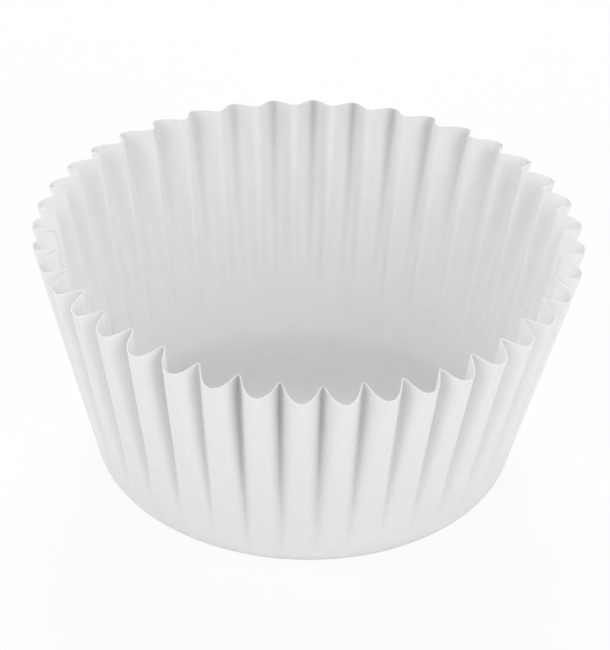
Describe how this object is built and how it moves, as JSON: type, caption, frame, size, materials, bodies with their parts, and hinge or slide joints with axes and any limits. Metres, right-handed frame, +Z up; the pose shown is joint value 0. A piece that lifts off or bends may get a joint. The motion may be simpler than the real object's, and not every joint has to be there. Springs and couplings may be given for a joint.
{
  "type": "paper baking cup",
  "caption": "Fluted white paper baking cup with a flat round floor and a flared, pleated wall, open at the top, that lines a muffin pan and holds the cake.",
  "frame": {"origin": "middle of the underside of the floor, on the surface that the cup rests on", "axes": "+Z up along the cup's axis, out of its open mouth; X and Y lie in the floor, and the flutes stand evenly round Z"},
  "size_m": [0.0688, 0.0688, 0.0319],
  "materials": {
    "white_paper": "matt, uncoated baking paper with a faint fibre grain"
  },
  "bodies": {
    "root": {"baking_cup": "white_paper"}
  },
  "joints": []
}
